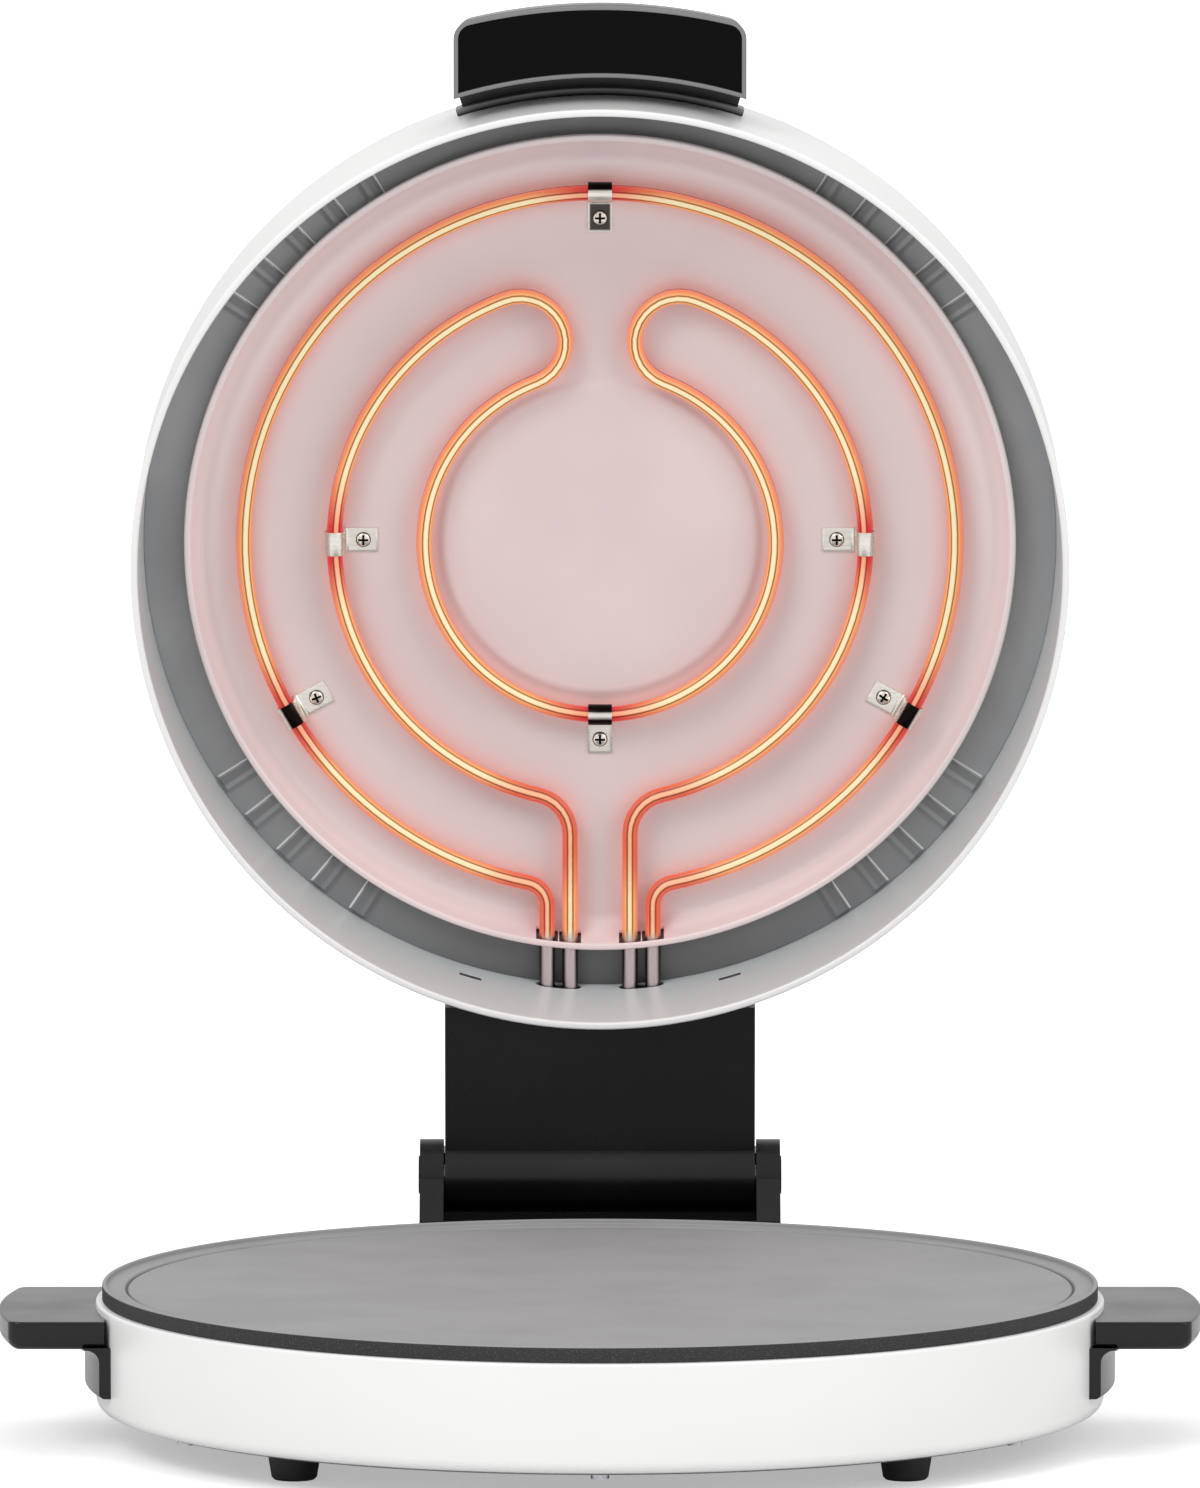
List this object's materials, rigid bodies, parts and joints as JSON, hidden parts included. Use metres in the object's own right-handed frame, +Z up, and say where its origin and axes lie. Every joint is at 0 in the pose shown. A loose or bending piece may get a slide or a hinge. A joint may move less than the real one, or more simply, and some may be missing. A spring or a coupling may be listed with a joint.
{
  "type": "electric pizza oven",
  "caption": "Round countertop pizza oven: a heated baking plate in a low base, with a deep hinged lid holding tubular elements over a reflector pan.",
  "frame": {"origin": "on the table, below the middle of the open oven's overall width and depth", "axes": "+X to the right of a person at the front, +Y to the rear, +Z up"},
  "size_m": [0.483, 0.5264, 0.5664],
  "materials": {
    "white_paint": "gloss baked enamel",
    "nonstick_grey": "cast aluminium with a matte grey non-stick coating",
    "grey_enamel": "satin heat-resistant grey enamel",
    "reflector_aluminium": "bright rolled sheet, pressed",
    "element_sheath": "oxidised stainless tube, glowing while it heats",
    "black_plastic": "fine moulded texture",
    "zinc_steel": "bright zinc plated",
    "clip_steel": "bright stainless strip",
    "dark_steel": "plain rolled sheet",
    "rubber_black": "moulded rubber",
    "ceramic_white": "unglazed steatite"
  },
  "bodies": {
    "base": {"base_housing": "white_paint", "baking_plate": "nonstick_grey", "lower_element": "dark_steel", "element_clamps": "zinc_steel", "clamp_screws": "zinc_steel", "heat_shield": "dark_steel", "bottom_cover": "dark_steel", "cover_screws": "zinc_steel", "tie_rods": "zinc_steel", "thermostat": "zinc_steel", "thermal_fuse": "zinc_steel", "terminal_block": "ceramic_white", "foot_front_left": "rubber_black", "foot_front_right": "rubber_black", "foot_rear_left": "rubber_black", "foot_rear_right": "rubber_black", "stand_foot_left": "rubber_black", "stand_foot_right": "rubber_black", "foot_screws": "zinc_steel", "left_grip": "black_plastic", "right_grip": "black_plastic", "grip_screws": "zinc_steel", "hinge_stand": "black_plastic", "backing_plate": "dark_steel", "stand_screws": "zinc_steel", "cord_gland": "rubber_black", "hinge_pin": "zinc_steel", "pin_caps": "black_plastic"},
    "lid": {"lid_shell": "white_paint", "lid_inner_wall": "white_paint", "lid_liner": "grey_enamel", "reflector": "reflector_aluminium", "outer_element": "element_sheath", "inner_element": "element_sheath", "element_terminals": "zinc_steel", "element_bushes": "ceramic_white", "clip_top": "clip_steel", "clip_left": "clip_steel", "clip_right": "clip_steel", "clip_lower_left": "clip_steel", "clip_lower_right": "clip_steel", "clip_bottom": "clip_steel", "clip_screws": "clip_steel", "liner_posts": "zinc_steel", "arm_bracket": "dark_steel", "arm_front_cover": "black_plastic", "arm_rear_cover": "black_plastic", "arm_screws": "zinc_steel", "lid_handle": "black_plastic", "handle_cover": "black_plastic", "handle_screws": "zinc_steel"}
  },
  "joints": [
    {"name": "lid_hinge", "type": "hinge", "parent": "base", "child": "lid", "pos_m": [0, 0.19927, 0.074], "axis": [1, 0, 0], "range_deg": [0, 83]}
  ]
}
